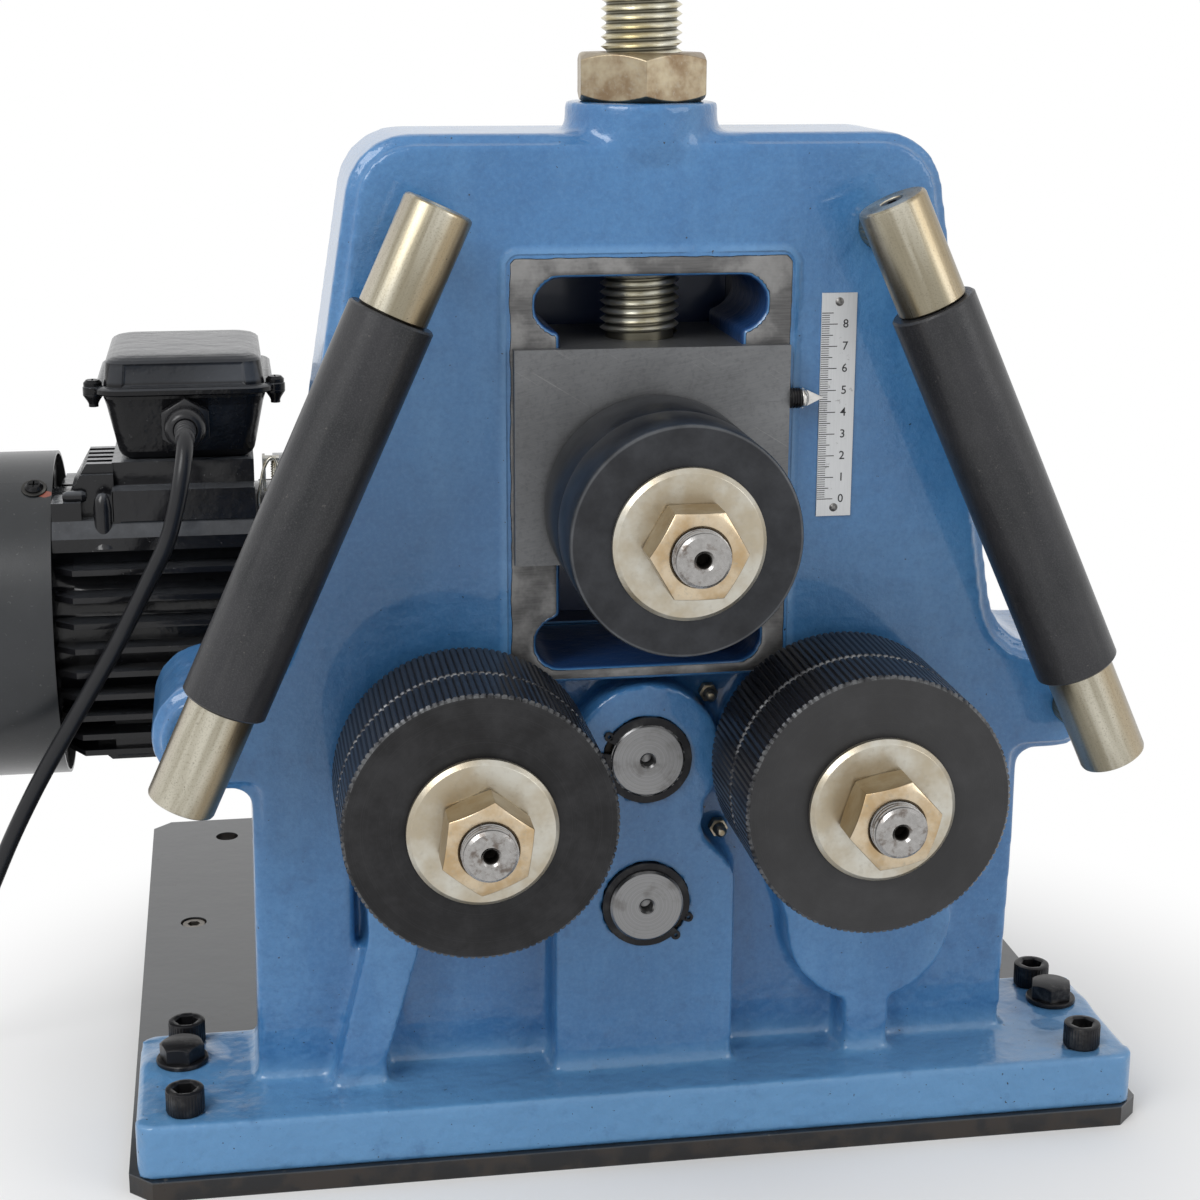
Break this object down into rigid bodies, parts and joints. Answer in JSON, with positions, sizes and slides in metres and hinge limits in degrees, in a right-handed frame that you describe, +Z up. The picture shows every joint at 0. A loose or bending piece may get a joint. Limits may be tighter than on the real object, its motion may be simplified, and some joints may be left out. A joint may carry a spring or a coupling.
{
  "type": "ring roller",
  "caption": "Motorised three-roll ring and section bender: cast frame, screw-fed top roll, geared drive, guide bars.",
  "frame": {"origin": "underside of the base plate, on the middle plane, below the frame casting's front face", "axes": "+X across the machine to the right as seen from the rolls' side, +Y back from the front face, +Z up"},
  "size_m": [0.742, 0.5638, 0.6146],
  "materials": {
    "blue_enamel": "glossy blue enamel on cast iron",
    "plate_grey": "satin grey paint on steel plate",
    "black_oxide": "black oxide, oiled",
    "black_cast": "satin black paint on cast aluminium and iron",
    "black_sheet": "satin black paint on sheet steel",
    "black_plastic": "moulded black plastic",
    "fan_plastic": "matt black plastic",
    "cord_rubber": "black cord sheath",
    "zinc_yellow": "zinc plated, pale yellow passivated",
    "bright_steel": "turned and ground steel",
    "ground_steel": "ground steel, lightly oiled",
    "scale_metal": "engraved satin aluminium",
    "bronze": "bearing bronze"
  },
  "bodies": {
    "frame": {"base_plate": "plate_grey", "levelling_screws": "bright_steel", "casting": "blue_enamel", "rear_cover": "blue_enamel", "cover_screws": "black_oxide", "base_socket_screws": "black_oxide", "base_hex_bolts": "black_oxide", "shaft_bushes": "bronze", "scale_plate": "scale_metal", "scale_rivets": "bright_steel", "guide_bar_ends": "zinc_yellow", "guide_axles": "bright_steel", "guide_studs": "zinc_yellow", "guide_grub_screws": "black_oxide", "gearbox_housing": "black_cast", "gearbox_bolts": "zinc_yellow", "motor_flange_bolts": "bright_steel", "motor_housing": "black_cast", "motor_cowl": "black_sheet", "motor_screws": "black_oxide", "terminal_box": "black_plastic", "terminal_box_lid": "black_plastic", "cable_gland": "black_plastic", "grease_nipples": "zinc_yellow", "cord": "cord_rubber", "cord_coil": "cord_rubber", "plug": "cord_rubber"},
    "slide_block": {"slide_block": "ground_steel", "block_keeper": "ground_steel", "keeper_screws": "black_oxide", "block_bushes": "bronze", "pointer": "bright_steel", "screw_retaining_pins": "bright_steel"},
    "adjusting_screw": {"adjusting_screw": "zinc_yellow", "handle_bar": "bright_steel", "handle_knobs": "black_plastic"},
    "lock_nut": {"lock_nut": "zinc_yellow"},
    "top_roll": {"top_roll_rings": "black_oxide", "top_roll_shaft": "bright_steel", "top_roll_washer": "zinc_yellow", "top_roll_nut": "zinc_yellow"},
    "left_roll": {"left_roll_rings": "black_oxide", "left_roll_shaft": "bright_steel", "left_roll_washer": "zinc_yellow", "left_roll_nut": "zinc_yellow", "left_roll_gear": "bright_steel"},
    "right_roll": {"right_roll_rings": "black_oxide", "right_roll_shaft": "bright_steel", "right_roll_washer": "zinc_yellow", "right_roll_nut": "zinc_yellow", "right_roll_gear": "bright_steel"},
    "idler": {"idler_shaft": "bright_steel", "idler_gear": "bright_steel"},
    "drive": {"drive_shaft": "bright_steel", "drive_gear": "bright_steel", "worm_wheel": "bronze"},
    "rotor": {"motor_rotor": "bright_steel", "motor_fan": "fan_plastic"},
    "left_sleeve": {"left_guide_sleeve": "black_oxide"},
    "right_sleeve": {"right_guide_sleeve": "black_oxide"}
  },
  "joints": [
    {"name": "block_slide", "type": "slide", "parent": "frame", "child": "slide_block", "axis": [0, 0, 1], "range_m": [-0.048, 0.03]},
    {"name": "screw_turn", "type": "hinge", "parent": "slide_block", "child": "adjusting_screw", "pos_m": [0, 0.03, 0.5], "axis": [0, 0, 1], "range_deg": [-4320, 2700]},
    {"name": "lock_nut_turn", "type": "hinge", "parent": "frame", "child": "lock_nut", "pos_m": [0, 0.03, 0.5], "axis": [0, 0, 1], "range_deg": [0, 90]},
    {"name": "top_roll_spin", "type": "hinge", "parent": "slide_block", "child": "top_roll", "pos_m": [0, 0, 0.3176], "axis": [0, 1, 0], "continuous": true},
    {"name": "motor_spin", "type": "hinge", "parent": "frame", "child": "rotor", "pos_m": [0, 0.24, 0.2116], "axis": [1, 0, 0], "continuous": true},
    {"name": "drive_spin", "type": "hinge", "parent": "frame", "child": "drive", "pos_m": [0, 0, 0.1216], "axis": [0, 1, 0], "continuous": true},
    {"name": "idler_spin", "type": "hinge", "parent": "frame", "child": "idler", "pos_m": [0, 0, 0.1936], "axis": [0, 1, 0], "continuous": true},
    {"name": "left_roll_spin", "type": "hinge", "parent": "frame", "child": "left_roll", "pos_m": [-0.08696, 0, 0.1963], "axis": [0, 1, 0], "continuous": true},
    {"name": "right_roll_spin", "type": "hinge", "parent": "frame", "child": "right_roll", "pos_m": [0.08696, 0, 0.1963], "axis": [0, 1, 0], "continuous": true},
    {"name": "left_sleeve_spin", "type": "hinge", "parent": "frame", "child": "left_sleeve", "pos_m": [-0.0965, -0.037, 0.4525], "axis": [-0.4147, 0, -0.91], "continuous": true},
    {"name": "right_sleeve_spin", "type": "hinge", "parent": "frame", "child": "right_sleeve", "pos_m": [0.0965, -0.037, 0.4525], "axis": [0.4147, 0, -0.91], "continuous": true}
  ],
  "couplings": [
    {"joint": "screw_turn", "follows": "block_slide", "rad_per_m": 1570.8},
    {"joint": "drive_spin", "follows": "motor_spin", "ratio": 0.033333},
    {"joint": "idler_spin", "follows": "motor_spin", "ratio": -0.039394},
    {"joint": "left_roll_spin", "follows": "motor_spin", "ratio": 0.024074},
    {"joint": "right_roll_spin", "follows": "motor_spin", "ratio": 0.024074}
  ]
}
